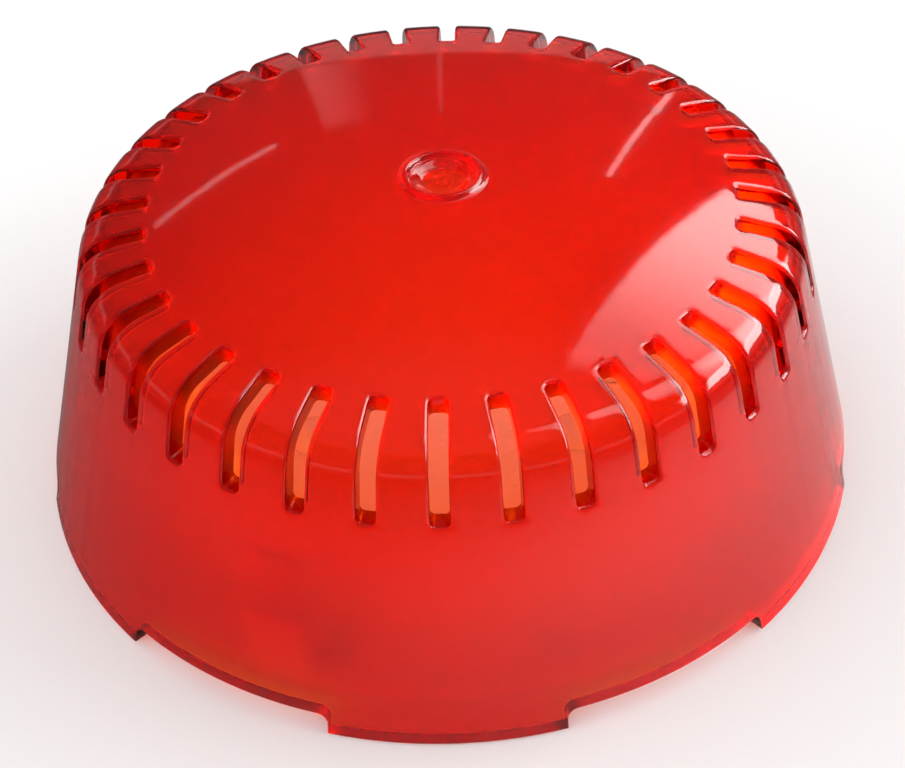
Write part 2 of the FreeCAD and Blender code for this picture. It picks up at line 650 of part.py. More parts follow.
def volume_rotor():
    """Round rotor with a screwdriver slot and an arrow nick at its rest direction."""
    x, y = VOLUME_CENTRE
    low = BOARD_TOP + 2.5 + SLIDER_GAP
    high = ROOF_TOP - 0.1
    rotor = cylinder(VOLUME_ROTOR_RADIUS, low, high, x, y)
    slot = centred_block(x, y, 0.7, VOLUME_ROTOR_RADIUS * 1.5, high - 0.9, high + 1)
    cross = centred_block(x, y, VOLUME_ROTOR_RADIUS * 1.5, 0.7, high - 0.9, high + 1)
    nick = centred_block(x, y - VOLUME_ROTOR_RADIUS, 0.5, 0.7, high - 0.5, high + 1)
    return rotor.cut([slot, cross, nick])


# ================================================================ electronics under the roof
def chip(spot, size, pins):
    """Moulded chip with a row of gull-wing pins along each of its two long sides (x faces)."""
    x, y = spot
    width, depth, height = size
    top = BOARD_TOP + height
    body = centred_block(x, y, width, depth, BOARD_TOP + 0.15, top)
    body = body.makeChamfer(0.25, edges_along(body, Vector(0, 1, 0), lambda p: p.z > top - 0.1))
    dimple = cylinder(0.4, top - 0.1, top + 1, x - width / 2 + 0.9, y - depth / 2 + 0.9)
    body = body.cut(dimple)
    half_pin = PIN_WIDTH / 2
    legs = []
    for side in (-1, 1):
        for i in range(pins):
            row = y + PIN_PITCH * (i - (pins - 1) / 2)
            inner = x + side * width / 2
            toe = min(inner, inner + side * PIN_REACH)
            shin = min(inner, inner + side * PIN_THICKNESS)
            knee = BOARD_TOP + height * 0.55
            near, far = row - half_pin, row + half_pin
            legs.append(block(toe, toe + PIN_REACH, near, far, BOARD_TOP, BOARD_TOP + 0.25))
            legs.append(block(shin, shin + PIN_THICKNESS, near, far, BOARD_TOP, knee))
    return body.multiFuse(legs).removeSplitter()


def microcontroller():
    return chip(MICROCONTROLLER_SPOT, MICROCONTROLLER_SIZE, MICROCONTROLLER_PINS)


def horn_driver():
    return chip(DRIVER_SPOT, DRIVER_SIZE, DRIVER_PINS)


def inductor():
    """Drum-core step-up inductor: two flanges on a wound waist."""
    x, y = INDUCTOR_SPOT
    upper = INDUCTOR_HEIGHT - INDUCTOR_FLANGE
    drum = revolve_points([
        (0, 0), (INDUCTOR_RADIUS, 0), (INDUCTOR_RADIUS, INDUCTOR_FLANGE), (INDUCTOR_WAIST, INDUCTOR_FLANGE),
        (INDUCTOR_WAIST, upper), (INDUCTOR_RADIUS, upper), (INDUCTOR_RADIUS, INDUCTOR_HEIGHT),
        (0, INDUCTOR_HEIGHT)])
    return drum.translated(Vector(x, y, BOARD_TOP))


def capacitor(x, y):
    """Can capacitor on a square foot with two cut corners and a vent cross pressed in its top."""
    can_low = BOARD_TOP + CAPACITOR_FOOT_HEIGHT
    top = BOARD_TOP + CAPACITOR_HEIGHT
    foot = centred_block(x, y, CAPACITOR_FOOT, CAPACITOR_FOOT, BOARD_TOP, can_low)
    foot = foot.makeChamfer(0.8, edges_along(foot, AXIS, lambda p: p.y < y))
    can = cylinder(CAPACITOR_RADIUS, can_low, top, x, y)
    rim = [e for e in can.Edges if isinstance(e.Curve, Part.Circle) and e.CenterOfMass.z > top - 0.1]
    can = can.makeFillet(0.3, rim)
    waist = ring(CAPACITOR_RADIUS + 1, CAPACITOR_RADIUS - 0.15, can_low + 0.4, can_low + 0.8, x, y)
    vent_length = CAPACITOR_RADIUS * 1.2
    vent = [centred_block(x, y, vent_length, 0.15, top - 0.1, 20)]
    vent.append(centred_block(x, y, 0.15, vent_length, top - 0.1, 20))
    return foot.fuse(can).cut([waist] + vent).removeSplitter()


def polarity_diode():
    """Glass-bodied diode on the board's underside with two bent leads."""
    x, y = DIODE_SPOT
    z = BOARD_UNDER - DIODE_RADIUS - 0.1
    half = DIODE_LENGTH / 2
    along = Vector(1, 0, 0)
    body = Part.makeCylinder(DIODE_RADIUS, DIODE_LENGTH, Vector(x - half, y, z), along)
    leads = []
    for side in (-1, 1):
        start = Vector(x + side * half, y, z)
        leads.append(Part.makeCylinder(DIODE_LEAD_RADIUS, DIODE_LEAD_REACH, start, along * side))
        leads.append(cylinder(DIODE_LEAD_RADIUS, z, BOARD_UNDER, start.x + side * DIODE_LEAD_REACH, y))
    return body.multiFuse(leads).removeSplitter()


def main():
    os.makedirs("parts", exist_ok=True)
    save(lens_cover(), "lens_cover")
    save(mounting_base(), "mounting_base")
    save(rear_gasket(), "rear_gasket")
    save(cable_grommet(), "cable_grommet")
    save(terminal_block(), "terminal_block")
    save(terminal_clamps(), "terminal_clamps")
    save(terminal_screws(), "terminal_screws")
    save(contact_springs(), "contact_springs")
    save(reflector(), "reflector")
    save(circuit_board(), "circuit_board")
    save(board_screws(), "board_screws")
    save(head_screws(), "head_screws")
    save(sounder_horn(), "sounder_horn")
    save(chamber_seal(), "chamber_seal")
    save(piezo_disc(), "piezo_disc")
    save(piezo_ceramic(), "piezo_ceramic")
    for number, angle in enumerate(LAMP_ANGLES, 1):
        x, y = polar(LAMP_ORBIT, angle)
        save(strobe_lamp(x, y), "strobe_lamp_%d" % number)
        save(strobe_lens(x, y), "strobe_lens_%d" % number)
    save(switch_body(), "switch_body")
    for number, row in enumerate(switch_rows(), 1):
        save(switch_slider(row), "switch_slider_%d" % number)
    save(volume_body(), "volume_body")
    save(volume_rotor(), "volume_rotor")
    save(microcontroller(), "microcontroller")
    save(horn_driver(), "horn_driver")
    save(inductor(), "inductor")
    for number, (x, y) in enumerate(CAPACITOR_SPOTS, 1):
        save(capacitor(x, y), "capacitor_%d" % number)
    save(polarity_diode(), "polarity_diode")


main()
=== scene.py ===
import json
import math
from collections import namedtuple

import bmesh
import bpy
from mathutils import Matrix, Vector


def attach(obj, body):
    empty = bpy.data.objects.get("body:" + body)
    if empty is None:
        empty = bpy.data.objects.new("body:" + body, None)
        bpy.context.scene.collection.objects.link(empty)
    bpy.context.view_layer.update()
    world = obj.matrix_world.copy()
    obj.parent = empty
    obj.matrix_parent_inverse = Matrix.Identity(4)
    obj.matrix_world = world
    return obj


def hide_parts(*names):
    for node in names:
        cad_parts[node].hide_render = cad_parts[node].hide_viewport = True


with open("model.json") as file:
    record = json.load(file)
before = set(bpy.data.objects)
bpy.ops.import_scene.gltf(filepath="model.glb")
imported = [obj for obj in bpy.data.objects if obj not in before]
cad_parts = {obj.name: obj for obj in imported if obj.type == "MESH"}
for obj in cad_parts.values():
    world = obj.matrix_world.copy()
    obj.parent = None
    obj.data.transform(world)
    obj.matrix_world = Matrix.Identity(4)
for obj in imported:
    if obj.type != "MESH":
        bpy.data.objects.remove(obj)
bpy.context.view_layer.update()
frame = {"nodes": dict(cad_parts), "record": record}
nodes = frame["nodes"]
MM = 0.001
TURN = 2 * math.pi

# ================================================================ the cover's driving sizes
# Lengths are in millimetres and angles in radians.
COVER_RADIUS = 50.0
COVER_WALL = 2.2
COVER_DRAFT = math.radians(14.6)
SHOULDER_START = 30.7
SHOULDER_RADIUS = 5.4
CROWN_RADIUS = 204.0
SLOT_COUNT = 36
SLOT_PITCH = TURN / SLOT_COUNT
SLOT_HALF = 1.0
SLOT_INNER_RADIUS = 33.8
SLOT_FLOOR = 26.2
SLOT_CORNER = 0.55
NOTCH_COUNT = 6
NOTCH_HALF_ANGLE = math.radians(15)
NOTCH_HEIGHT = 2.3
NOTCH_CORNER = 1.2
BOSS_RADIUS = 4.9
BOSS_HEIGHT = 0.55
BOSS_DISH_RADIUS = 3.75
BOSS_DISH_DEPTH = 1.25
BOSS_FLOOR_RADIUS = 2.1
LUG_ANGLES = [math.radians(angle) for angle in (-24, 96, 216)]
LUG_HALF_ANGLE = math.radians(4.9)
LUG_EASE_ANGLE = math.radians(1.6)
LUG_LOW = 11.0
LUG_HIGH = 20.0
LUG_EASE_HEIGHT = 1.8
LUG_PAD = 0.3
SLOT_EDGE_ROUND = 0.45
OTHER_EDGE_ROUND = 0.18

# ---------------------------------------------------------------- how the cover's grid is cut
SIDE_HEIGHTS = (3.6, 5.4, 7.4, 9.4, 10.3, 11.0, 11.9, 12.8, 13.8,
                15.2, 16.8, 18.2, 19.1, 20.0, 21.6, 23.6, 25.1)
DRAW_IN_START = 15.0
SLOT_SIDE_HEIGHTS = (27.9, 29.1)
SLOT_CROWN_SHARES = (0.4, 0.75)
CROWN_ROW_RADII = (32.6, 30.4, 27.6, 24.4, 21.0, 17.6, 14.2, 11.0, 8.2, 6.4)
BOSS_FOOT_ROWS = ((0.62, 0.0), (0.26, 0.03), (0.08, 0.14))
GATE_MARK_ROWS = ((BOSS_FLOOR_RADIUS, 0.0), (1.7, 0.0), (1.3, 0.0), (1.18, 0.01),
                  (1.08, 0.04), (0.9, 0.05), (0.4, 0.05))
SLOT_CORNER_STEPS = 5
NOTCH_CORNER_STEPS = 4
BEND_STEPS = 12
RIDGE_STEPS = 10
DISH_STEPS = 14
ROUND_STEPS = 4
RIB_QUARTER = math.radians(1.83)
CROWN_SPREAD = math.radians(1.5)
CROWN_SPREAD_REACH = 12.0
NEAR_SLOT_MIDDLE = 0.01
NOTCH_END_SLACK = 1e-6
FLAT_FACE_WEIGHT = 60
SLOT_ROLES = ("floor", "low corner", "slot", "high corner")
LOW_ROLES = ("rim", "notch", "side")

# A row's half is the slot's half-width there, or None further in than the slots. A column's side is -1 or 1
# on a slot's edges, and its pull is how far it is drawn down round a notch's corner, or None elsewhere.
Row = namedtuple("Row", "role outer inner half")
Column = namedtuple("Column", "angle side pull")


# ================================================================ the cover's mesh
def eased(value):
    """Smooth rise from nought to one, level outside."""
    value = max(0.0, min(1.0, value))
    return value * value * (3 - 2 * value)


class Profile:
    """One skin of the cover in the radius-height plane: leaning side, shoulder bend, domed crown."""

    def __init__(self, inset):
        self.inset = inset
        side_normal = Vector((math.cos(COVER_DRAFT), math.sin(COVER_DRAFT)))
        foot = Vector((COVER_RADIUS - SHOULDER_START * math.tan(COVER_DRAFT), SHOULDER_START))
        self.bend_centre = foot - side_normal * SHOULDER_RADIUS
        reach = CROWN_RADIUS - SHOULDER_RADIUS
        self.crown_z = self.bend_centre.y - math.sqrt(reach ** 2 - self.bend_centre.x ** 2)
        crown_normal = self.bend_centre - Vector((0, self.crown_z))
        self.crown_angle = math.atan2(crown_normal.y, crown_normal.x)

    def side(self, height):
        radius = COVER_RADIUS - self.inset / math.cos(COVER_DRAFT) - height * math.tan(COVER_DRAFT)
        return radius, height

    def bend(self, share):
        angle = COVER_DRAFT + (self.crown_angle - COVER_DRAFT) * share
        radius = SHOULDER_RADIUS - self.inset
        point = self.bend_centre + Vector((math.cos(angle), math.sin(angle))) * radius
        return point.x, point.y

    def crown(self, radius):
        height = self.crown_z + math.sqrt((CROWN_RADIUS - self.inset) ** 2 - radius ** 2)
        return radius, height


OUTER = Profile(0.0)
INNER = Profile(COVER_WALL)
SKINS = (OUTER, INNER)


def corner_steps(radius, count):
    """Pairs (distance along, pull-in across) round a quarter corner, from its start to its end."""
    steps = []
    for i in range(count + 1):
        turn = math.pi / 2 * i / count
        steps.append((radius - radius * math.cos(turn), radius - radius * math.sin(turn)))
    return steps


def side_rows():
    """Rim, notch and side rows, over which the columns beside a slot draw in towards its rounded foot."""
    notch = NOTCH_HEIGHT - NOTCH_CORNER
    rows = [Row("rim", OUTER.side(0.0), INNER.side(0.0), SLOT_HALF)]
    rows.append(Row("notch", OUTER.side(notch), INNER.side(notch), SLOT_HALF))
    for height in SIDE_HEIGHTS:
        share = max(0.0, (height - DRAW_IN_START) / (SLOT_FLOOR - DRAW_IN_START))
        rows.append(Row("side", OUTER.side(height), INNER.side(height), SLOT_HALF - SLOT_CORNER * share))
    return rows


def slot_rows():
    """Rows that cross the slots: from their foot on the side, round the shoulder, to the crown."""
    rows = []
    corner = corner_steps(SLOT_CORNER, SLOT_CORNER_STEPS)
    for along, pull in corner:
        height = SLOT_FLOOR + along
        role = "floor" if along == 0.0 else "low corner"
        rows.append(Row(role, OUTER.side(height), INNER.side(height), SLOT_HALF - pull))
    for height in SLOT_SIDE_HEIGHTS:
        rows.append(Row("slot", OUTER.side(height), INNER.side(height), SLOT_HALF))
    for i in range(BEND_STEPS + 1):
        share = i / BEND_STEPS
        rows.append(Row("slot", OUTER.bend(share), INNER.bend(share), SLOT_HALF))
    start = SLOT_INNER_RADIUS + SLOT_CORNER
    for share in SLOT_CROWN_SHARES:
        points = [skin.crown(skin.bend(1.0)[0] * (1 - share) + start * share) for skin in SKINS]
        rows.append(Row("slot", *points, SLOT_HALF))
    for along, pull in reversed(corner):
        radius = SLOT_INNER_RADIUS + along
        role = "end" if along == 0.0 else "high corner"
        rows.append(Row(role, OUTER.crown(radius), INNER.crown(radius), SLOT_HALF - pull))
    return rows


def crown_rows():
    """Rows from the slots' ends to the middle: crown, boss foot, ridge, dish and gate mark."""
    points = [OUTER.crown(radius) for radius in CROWN_ROW_RADII]
    for reach, lift in BOSS_FOOT_ROWS:
        radius, height = OUTER.crown(BOSS_RADIUS + reach)
        points.append((radius, height + lift))
    crest = OUTER.crown(0.0)[1] + BOSS_HEIGHT
    ridge_half = (BOSS_RADIUS - BOSS_DISH_RADIUS) / 2
    ridge = BOSS_RADIUS - ridge_half
    brim = crest - ridge_half
    for i in range(1, RIDGE_STEPS):
        turn = math.pi * i / RIDGE_STEPS
        points.append((ridge + ridge_half * math.cos(turn), brim + ridge_half * math.sin(turn)))
    floor = crest - BOSS_DISH_DEPTH
    for i in range(DISH_STEPS):
        share = i / DISH_STEPS
        radius = BOSS_DISH_RADIUS + (BOSS_FLOOR_RADIUS - BOSS_DISH_RADIUS) * share
        points.append((radius, brim + (floor - brim) * eased(share)))
    points += [(radius, floor + rise) for radius, rise in GATE_MARK_ROWS]
    return [Row("crown", point, INNER.crown(point[0]), None) for point in points]


def cover_columns():
    """Every column of the grid: three at each slot, three on each rib and more at the notches' ends."""
    sectors = SLOT_COUNT // NOTCH_COUNT
    opening = int((math.pi / NOTCH_COUNT - NOTCH_HALF_ANGLE) / SLOT_PITCH)
    closing = int((math.pi / NOTCH_COUNT + NOTCH_HALF_ANGLE) / SLOT_PITCH)
    corner = corner_steps(NOTCH_CORNER, NOTCH_CORNER_STEPS)
    columns = []
    for sector in range(SLOT_COUNT):
        base = sector * SLOT_PITCH
        middle = base + SLOT_PITCH / 2
        place_in_turn = sector % sectors
        columns += [Column(base, side, None) for side in (-1, 0, 1)]
        columns.append(Column(middle - RIB_QUARTER, 0, None))
        if place_in_turn == closing:
            for along, pull in reversed(corner[1:]):
                columns.append(Column(middle - along / COVER_RADIUS, 0, pull))
        columns.append(Column(middle, 0, NOTCH_CORNER if place_in_turn in (opening, closing) else None))
        if place_in_turn == opening:
            for along, pull in corner[1:]:
                columns.append(Column(middle + along / COVER_RADIUS, 0, pull))
        columns.append(Column(middle + RIB_QUARTER, 0, None))
    return columns


def in_notch(angle):
    """True between a notch's two ends. The tabs between the notches are at 0, 60, 120 degrees..."""
    turn = TURN / NOTCH_COUNT
    offset = (angle % turn) - turn / 2
    return abs(offset) < NOTCH_HALF_ANGLE - NOTCH_END_SLACK


def on_slot_middle(angle):
    offset = angle % SLOT_PITCH
    return min(offset, SLOT_PITCH - offset) <= NEAR_SLOT_MIDDLE


def lug_share(angle, height):
    """How far the inner skin swells towards a lug's full depth: one in its middle, nought outside it."""
    upward = min((height - LUG_LOW) / LUG_EASE_HEIGHT + 1, (LUG_HIGH - height) / LUG_EASE_HEIGHT)
    best = 0.0
    for centre in LUG_ANGLES:
        offset = (angle - centre + math.pi) % TURN - math.pi
        sideways = (LUG_HALF_ANGLE - abs(offset)) / LUG_EASE_ANGLE
        best = max(best, eased(sideways) * eased(upward))
    return best


def column_angle(column, half, radius):
    """Where a column is at a row: on a slot's edge, or easing apart across the crown inside the slots."""
    if column.side == 0:
        return column.angle
    if half is not None:
        return column.angle + column.side * math.asin(half / radius)
    edge = math.asin((SLOT_HALF - SLOT_CORNER) / SLOT_INNER_RADIUS)
    share = max(0.0, min(1.0, (SLOT_INNER_RADIUS - radius) / CROWN_SPREAD_REACH))
    return column.angle + column.side * (edge + (CROWN_SPREAD - edge) * share)


def grid_point(row, column, skin):
    """Radius, angle and height of a grid point on the outer skin (0) or the inner skin (1).

    Between the slots, the rows at a slot's two ends are moved away from it by its edge rounding.
    """
    profile = SKINS[skin]
    radius, height = row.inner if skin else row.outer
    angle = column_angle(column, row.half, radius)
    if row.role == "notch" and (in_notch(column.angle) or column.pull is not None):
        height = NOTCH_HEIGHT - (column.pull or 0.0)
        radius = profile.side(height)[0]
    if row.role == "side" and skin == 1:
        radius -= LUG_PAD * lug_share(angle, height)
    if column.side == 0 and row.half is not None and not on_slot_middle(column.angle):
        apart = SLOT_EDGE_ROUND * (SLOT_HALF - row.half) / SLOT_CORNER
        if row.role in ("floor", "low corner"):
            height -= apart
            radius = profile.side(height)[0]
        if row.role in ("end", "high corner"):
            radius -= apart
            height = profile.crown(radius)[1]
    return radius, angle, height


def cover_grid(mesh, rows, columns):
    """Makes the vertices, keyed by row, column and skin, and marks how matt the cover is at each."""
    matt = mesh.verts.layers.float.new("matt_inside")
    grid = {}
    for i, row in enumerate(rows):
        for j, column in enumerate(columns):
            for skin in (0, 1):
                radius, angle, height = grid_point(row, column, skin)
                spot = Vector((radius * math.sin(angle), -radius * math.cos(angle), height))
                grid[i, j, skin] = mesh.verts.new(spot * MM)
                grid[i, j, skin][matt] = float(skin)
    return grid


def has_material(rows, columns, i, j):
    """True where the cover is solid between row i and the next, and between column j and the next.

    Nothing lies below the first row, and the crown's middle lies past the last one.
    """
    last = len(rows) - 1
    if i < 0 or i >= last:
        return i == last
    column = columns[j % len(columns)]
    after = columns[(j + 1) % len(columns)]
    if i == 0:
        span = (after.angle - column.angle) % TURN
        return not in_notch(column.angle + span / 2)
    over_slot = (column.side, after.side) in ((-1, 0), (0, 1))
    return not (over_slot and rows[i].role in SLOT_ROLES)


def add_skins(mesh, grid, rows, columns):
    """Fills both skins and returns the seams: cell edges with nothing beyond them, and their cells."""
    seams = []
    for i in range(len(rows) - 1):
        for j in range(len(columns)):
            if not has_material(rows, columns, i, j):
                continue
            k = (j + 1) % len(columns)
            cell = ((i, j), (i, k), (i + 1, k), (i + 1, j))
            for skin in (0, 1):
                mesh.faces.new([grid[(*key, skin)] for key in cell])
            neighbours = ((i - 1, j), (i, j + 1), (i + 1, j), (i, j - 1))
            for side, neighbour in enumerate(neighbours):
                if not has_material(rows, columns, *neighbour):
                    seams.append((cell[side], cell[(side + 1) % 4], cell))
    return seams


def inward_directions(grid, seams):
    """For each vertex on an opening's edge, the direction along the skin into the material."""
    leaning = {}
    for first, second, cell in seams:
        start, end = grid[(*first, 0)].co, grid[(*second, 0)].co
        along = (end - start).normalized()
        middle = sum((grid[(*key, 0)].co for key in cell), Vector()) / len(cell)
        inward = middle - start
        inward = (inward - along * inward.dot(along)).normalized()
        for key in (first, second):
            leaning.setdefault(key, []).append(inward)
    directions = {}
    for key, sides in leaning.items():
        total = sides[0] + sides[-1]
        directions[key] = total / (1 + sides[0].dot(sides[-1]))
    return directions


def rounded_wall(mesh, grid, key, inward, radius):
    """Moves both skins back from an opening and returns the vertices round the edges and down the wall."""
    matt = mesh.verts.layers.float["matt_inside"]
    top, foot = grid[(*key, 0)], grid[(*key, 1)]
    high, low = top.co.copy(), foot.co.copy()
    down = (low - high).normalized()
    turns = [math.pi / 2 * step / ROUND_STEPS for step in range(ROUND_STEPS + 1)]
    chain = [top]
    top.co = high + inward * radius * MM
    for turn in turns[1:]:
        shift = inward * (1 - math.sin(turn)) + down * (1 - math.cos(turn))
        chain.append(mesh.verts.new(high + shift * radius * MM))
    foot.co = low + inward * OTHER_EDGE_ROUND * MM
    for turn in reversed(turns[1:]):
        shift = inward * (1 - math.sin(turn)) - down * (1 - math.cos(turn))
        vertex = mesh.verts.new(low + shift * OTHER_EDGE_ROUND * MM)
        vertex[matt] = math.cos(turn)
        chain.append(vertex)
    chain.append(foot)
    return chain


def add_walls(mesh, grid, rows, seams):
    """Joins the two skins round the rim, the notches and the slots, with rounded edges."""
    chains = {}
    for key, inward in inward_directions(grid, seams).items():
        low_edge = rows[key[0]].role in LOW_ROLES
        radius = OTHER_EDGE_ROUND if low_edge else SLOT_EDGE_ROUND
        chains[key] = rounded_wall(mesh, grid, key, inward, radius)
    for first, second, _ in seams:
        for step in range(len(chains[first]) - 1):
            mesh.faces.new(chains[first][step:step + 2] + chains[second][step:step + 2][::-1])


def add_middle(mesh, grid, rows, columns):
    """Closes both skins with a fan round the middle of the crown."""
    matt = mesh.verts.layers.float["matt_inside"]
    last = len(rows) - 1
    for skin, (_, height) in enumerate((rows[last].outer, rows[last].inner)):
        centre = mesh.verts.new(Vector((0, 0, height)) * MM)
        centre[matt] = float(skin)
        for j in range(len(columns)):
            k = (j + 1) % len(columns)
            mesh.faces.new((grid[last, j, skin], grid[last, k, skin], centre))


def build_cover():
    rows = side_rows() + slot_rows() + crown_rows()
    columns = cover_columns()
    mesh = bmesh.new()
    grid = cover_grid(mesh, rows, columns)
    seams = add_skins(mesh, grid, rows, columns)
    add_walls(mesh, grid, rows, seams)
    add_middle(mesh, grid, rows, columns)
    loose = [vertex for vertex in mesh.verts if not vertex.link_faces]
    bmesh.ops.delete(mesh, geom=loose, context="VERTS")
    bmesh.ops.recalc_face_normals(mesh, faces=mesh.faces)
    for face in mesh.faces:
        face.smooth = True
    data = bpy.data.meshes.new("lens_cover_moulding")
    mesh.to_mesh(data)
    mesh.free()
    cover = bpy.data.objects.new("lens_cover_moulding", data)
    bpy.context.collection.objects.link(cover)
    crisp = cover.modifiers.new("flats stay flat", "WEIGHTED_NORMAL")
    crisp.weight = FLAT_FACE_WEIGHT
    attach(cover, "cover")
    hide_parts("lens_cover")
    return cover


# ================================================================ node helpers
class Nodes:
    """Short forms for the nodes that the materials and the surroundings are built from."""

    def __init__(self, tree):
        self.tree = tree

    def node(self, kind, **settings):
        made = self.tree.nodes.new("ShaderNode" + kind)
        for name, value in settings.items():
            setattr(made, name, value)
        return made

    def wire(self, value, socket):
        """Links an output to a socket, or sets a plain number or colour on the socket."""
        if isinstance(value, bpy.types.NodeSocket):
            self.tree.links.new(value, socket)
        else:
            socket.default_value = value

    def math(self, operation, first, second=0.0):
        node = self.node("Math", operation=operation)
        self.wire(first, node.inputs[0])
        self.wire(second, node.inputs[1])
        return node.outputs["Value"]

    def add(self, *values):
        total = values[0]
        for value in values[1:]:
            total = self.math("ADD", total, value)
        return total

    def times(self, *values):
        total = values[0]
        for value in values[1:]:
            total = self.math("MULTIPLY", total, value)
        return total

    def ramp(self, value, start, end):
        """Eased change from one (value, result) pair to the next, level outside them."""
        node = self.node("MapRange", interpolation_type="SMOOTHSTEP")
        self.wire(value, node.inputs["Value"])
        for name, number in zip(("From Min", "To Min", "From Max", "To Max"), (*start, *end)):
            node.inputs[name].default_value = number
        return node.outputs["Result"]

    def band(self, value, low, high, soft_low, soft_high):
        """One between low and high, falling to nought over the soft margins outside them."""
        rise = self.ramp(value, (low - soft_low, 0.0), (low, 1.0))
        fall = self.ramp(value, (high, 1.0), (high + soft_high, 0.0))
        return self.times(rise, fall)

    def split(self, vector):
        node = self.node("SeparateXYZ")
        self.wire(vector, node.inputs[0])
        return node.outputs["X"], node.outputs["Y"], node.outputs["Z"]


class Surface(Nodes):
    """A Principled material: places in the piece's own millimetres, shares from 0 to 1 across its box."""

    def __init__(self, name):
        self.material = bpy.data.materials.new(name)
        self.material.use_nodes = True
        super().__init__(self.material.node_tree)
        self.shader = self.tree.nodes["Principled BSDF"]
        self.output = self.tree.nodes["Material Output"]
        self.coordinates = self.node("TexCoord")
        scaled = self.node("VectorMath", operation="SCALE")
        scaled.inputs["Scale"].default_value = 1 / MM
        self.wire(self.coordinates.outputs["Object"], scaled.inputs[0])
        self.place = scaled.outputs["Vector"]
        self.relief = None

    def shares(self):
        return self.split(self.coordinates.outputs["Generated"])

    def noise(self, size, stretch=(1, 1, 1), detail=2.0):
        """Cloudy noise from 0 to 1 with lumps about size millimetres across, times the stretch."""
        squeezed = self.node("VectorMath", operation="DIVIDE")
        self.wire(self.place, squeezed.inputs[0])
        squeezed.inputs[1].default_value = [size * factor for factor in stretch]
        texture = self.node("TexNoise")
        self.wire(squeezed.outputs["Vector"], texture.inputs["Vector"])
        texture.inputs["Scale"].default_value = 1.0
        texture.inputs["Detail"].default_value = detail
        return texture.outputs[0]

    def cells(self, size, feature="F1"):
        """Distance from the middle of random cells, or from their edges, with cells size millimetres wide."""
        texture = self.node("TexVoronoi", feature=feature)
        self.wire(self.place, texture.inputs["Vector"])
        texture.inputs["Scale"].default_value = 1.0 / size
        return texture.outputs["Distance"]

    def waves(self, distance, pitch):
        """Even ripples from 0 to 1 along a distance in millimetres, one pitch apart."""
        ripple = self.math("SINE", self.times(distance, TURN / pitch))
        return self.ramp(ripple, (-1.0, 0.0), (1.0, 1.0))

    def from_axis(self):
        """How far a point is from the upright axis of its box, as a share of the box's width."""
        x, y, _ = self.shares()
        across = [self.math("POWER", self.math("SUBTRACT", share, 0.5), 2.0) for share in (x, y)]
        return self.math("SQRT", self.add(*across))

    def mix(self, factor, first, second):
        """Blend of two colours; sockets 0, 6 and 7 are the factor and the colours, output 2 is the result."""
        node = self.node("Mix", data_type="RGBA")
        for value, number in ((factor, 0), (first, 6), (second, 7)):
            self.wire((*value, 1.0) if isinstance(value, tuple) else value, node.inputs[number])
        return node.outputs[2]

    def emboss(self, height, depth):
        """Adds relief with a depth in millimetres between heights of nought and one."""
        bump = self.node("Bump")
        bump.inputs["Distance"].default_value = depth * MM
        self.wire(height, bump.inputs["Height"])
        if self.relief is not None:
            self.wire(self.relief, bump.inputs["Normal"])
        self.relief = bump.outputs["Normal"]

    def finish(self, color, roughness, metallic=0.0):
        self.wire(color, self.shader.inputs["Base Color"])
        self.wire(roughness, self.shader.inputs["Roughness"])
        self.wire(metallic, self.shader.inputs["Metallic"])
        self.wire(self.relief, self.shader.inputs["Normal"])
        return self.material


# ================================================================ materials
LENS_INDEX = 1.58
LENS_TINT = (0.985, 0.61, 0.02, 1.0)
LENS_DENSITY = 2600.0
LENS_GLOSS = (0.03, 0.055)
LENS_MATT_INSIDE = 0.4
LENS_HAIRLINE_MATT = 0.02


def red_lens():
    """Deep red clear plastic, polished outside and softly matt on its inner skin."""
    surface = Surface("red_lens")
    flow = surface.noise(size=14.0, stretch=(1, 1, 2.5))
    speckle = surface.noise(size=0.5, detail=3.0)
    scratches = surface.noise(size=0.9, stretch=(0.08, 2.5, 1), detail=3.0)
    hairlines = surface.ramp(scratches, (0.62, 0.0), (0.75, 1.0))
    gloss = surface.ramp(speckle, (0.35, LENS_GLOSS[0]), (0.7, LENS_GLOSS[1]))
    inside = surface.node("Attribute", attribute_name="matt_inside").outputs["Fac"]
    matt = surface.times(inside, LENS_MATT_INSIDE)
    roughness = surface.add(gloss, matt, surface.times(hairlines, LENS_HAIRLINE_MATT))
    surface.emboss(flow, depth=0.012)
    surface.emboss(hairlines, depth=0.0004)
    surface.shader.inputs["Transmission Weight"].default_value = 1.0
    surface.shader.inputs["IOR"].default_value = LENS_INDEX
    volume = surface.node("VolumeAbsorption")
    volume.inputs["Color"].default_value = LENS_TINT
    volume.inputs["Density"].default_value = LENS_DENSITY
    surface.wire(volume.outputs["Volume"], surface.output.inputs["Volume"])
    return surface.finish(surface.mix(flow, (1.0, 0.99, 0.985), (1.0, 1.0, 1.0)), roughness)


def moulded(slot, main, second, roughness, mottle=6.0, grain=0.3, depth=0.008):
    """Moulded plastic: two close tones, a fine grain, faint sink and rubbed patches."""
    surface = Surface(slot)
    clouds = surface.noise(size=mottle)
    rubbed = surface.ramp(surface.noise(size=2.4, stretch=(1, 0.15, 1), detail=3.0), (0.58, 0.0), (0.74, 1.0))
    specks = surface.ramp(surface.noise(size=grain * 2, detail=3.0), (0.5, 0.0), (0.8, 1.0))
    tone = surface.ramp(clouds, (0.25, 0.0), (0.75, 0.5))
    color = surface.mix(surface.add(tone, surface.times(specks, 0.2)), main, second)
    level = surface.ramp(clouds, (0.3, roughness - 0.05), (0.7, roughness + 0.06))
    surface.emboss(surface.noise(size=grain, detail=3.0), depth=depth)
    surface.emboss(clouds, depth=0.03)
    surface.emboss(rubbed, depth=0.001)
    return surface.finish(color, surface.math("SUBTRACT", level, surface.times(rubbed, 0.035)))


